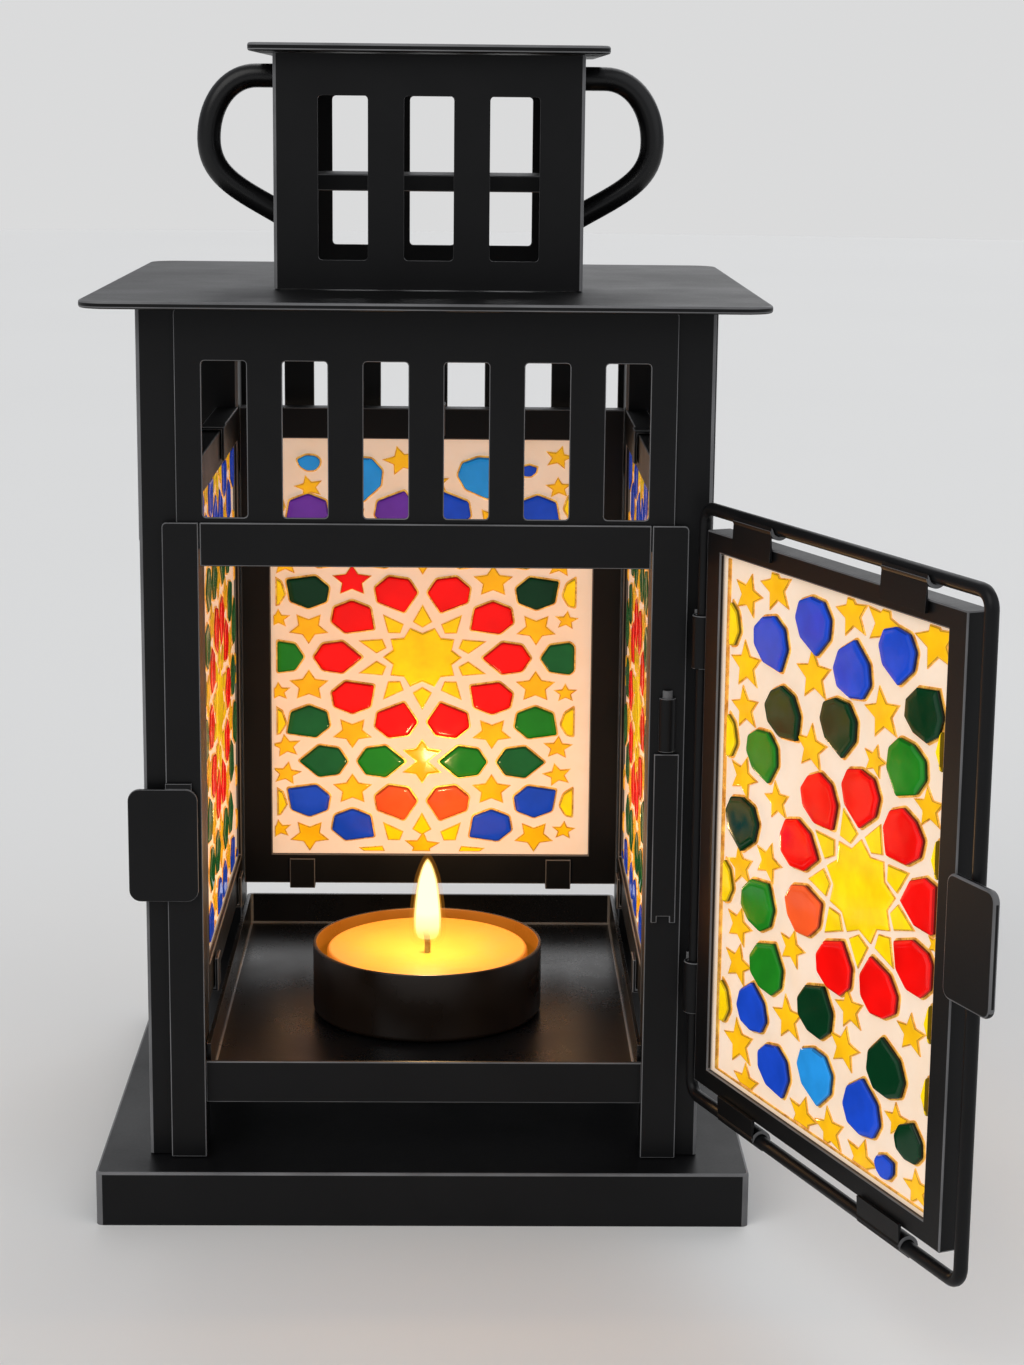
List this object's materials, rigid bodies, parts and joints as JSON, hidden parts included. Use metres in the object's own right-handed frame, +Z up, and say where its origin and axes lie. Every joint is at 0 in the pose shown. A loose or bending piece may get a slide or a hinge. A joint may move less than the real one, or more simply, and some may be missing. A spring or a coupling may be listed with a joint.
{
  "type": "candle lantern",
  "caption": "Square black steel candle lantern with rosette mosaic glass panes, a front door on a hinge rod, slotted fascias, a vented chimney with ear handles, and a cup candle.",
  "frame": {"origin": "middle of the underside of the plinth, on the ground", "axes": "+Z up; -Y towards the doorway on the front; +X to the right post, where the door hangs"},
  "size_m": [0.1919, 0.275, 0.28],
  "materials": {
    "black_steel": "black powder coat, semi-gloss",
    "clear_glass": "clear float glass",
    "mosaic_glass": "domed coloured glass gems in pale grout straps with thin gold outlines",
    "cup_metal": "black enamelled candle cup, satin",
    "wax": "warm cream wax, smooth",
    "wick": "charred cotton"
  },
  "bodies": {
    "lantern": {"plinth": "black_steel", "plinth_base_plate": "black_steel", "post_front_left": "black_steel", "post_front_right": "black_steel", "post_back_left": "black_steel", "post_back_right": "black_steel", "rail_back": "black_steel", "rail_left": "black_steel", "rail_front": "black_steel", "rail_right": "black_steel", "candle_tray": "black_steel", "back_frame": "black_steel", "back_mosaic": "mosaic_glass", "back_glass": "clear_glass", "back_clip_lower_a": "black_steel", "back_clip_lower_b": "black_steel", "back_clip_upper": "black_steel", "left_frame": "black_steel", "left_mosaic": "mosaic_glass", "left_glass": "clear_glass", "left_clip_lower_a": "black_steel", "left_clip_lower_b": "black_steel", "left_clip_upper": "black_steel", "right_frame": "black_steel", "right_mosaic": "mosaic_glass", "right_glass": "clear_glass", "right_clip_lower_a": "black_steel", "right_clip_lower_b": "black_steel", "right_clip_upper": "black_steel", "fascia_back": "black_steel", "fascia_left": "black_steel", "fascia_front": "black_steel", "fascia_right": "black_steel", "jamb_left": "black_steel", "jamb_right": "black_steel", "header_rail": "black_steel", "keeper_plate": "black_steel", "stop_strip": "black_steel", "stop_sleeve": "black_steel", "hinge_knuckle_upper": "black_steel", "hinge_knuckle_lower": "black_steel", "roof_plate": "black_steel", "chimney": "black_steel", "chimney_cap": "black_steel", "chimney_baffle": "black_steel", "handle_right": "black_steel", "handle_left": "black_steel"},
    "door": {"door_rod_frame": "black_steel", "door_frame": "black_steel", "door_mosaic": "mosaic_glass", "door_glass": "clear_glass", "door_clip_upper_a": "black_steel", "door_clip_lower_a": "black_steel", "door_clip_upper_b": "black_steel", "door_clip_lower_b": "black_steel", "door_pull_plate": "black_steel"},
    "candle": {"candle_cup": "cup_metal", "candle_wax": "wax", "candle_wick": "wick"}
  },
  "joints": [
    {"name": "door_hinge", "type": "hinge", "parent": "lantern", "child": "door", "pos_m": [0.0648, -0.0749, 0.1045], "axis": [0, 0, 1], "range_deg": [-112.5, 90]},
    {"name": "candle_lift", "type": "slide", "parent": "lantern", "child": "candle", "axis": [0, 0, 1], "range_m": [0, 0.03]}
  ]
}
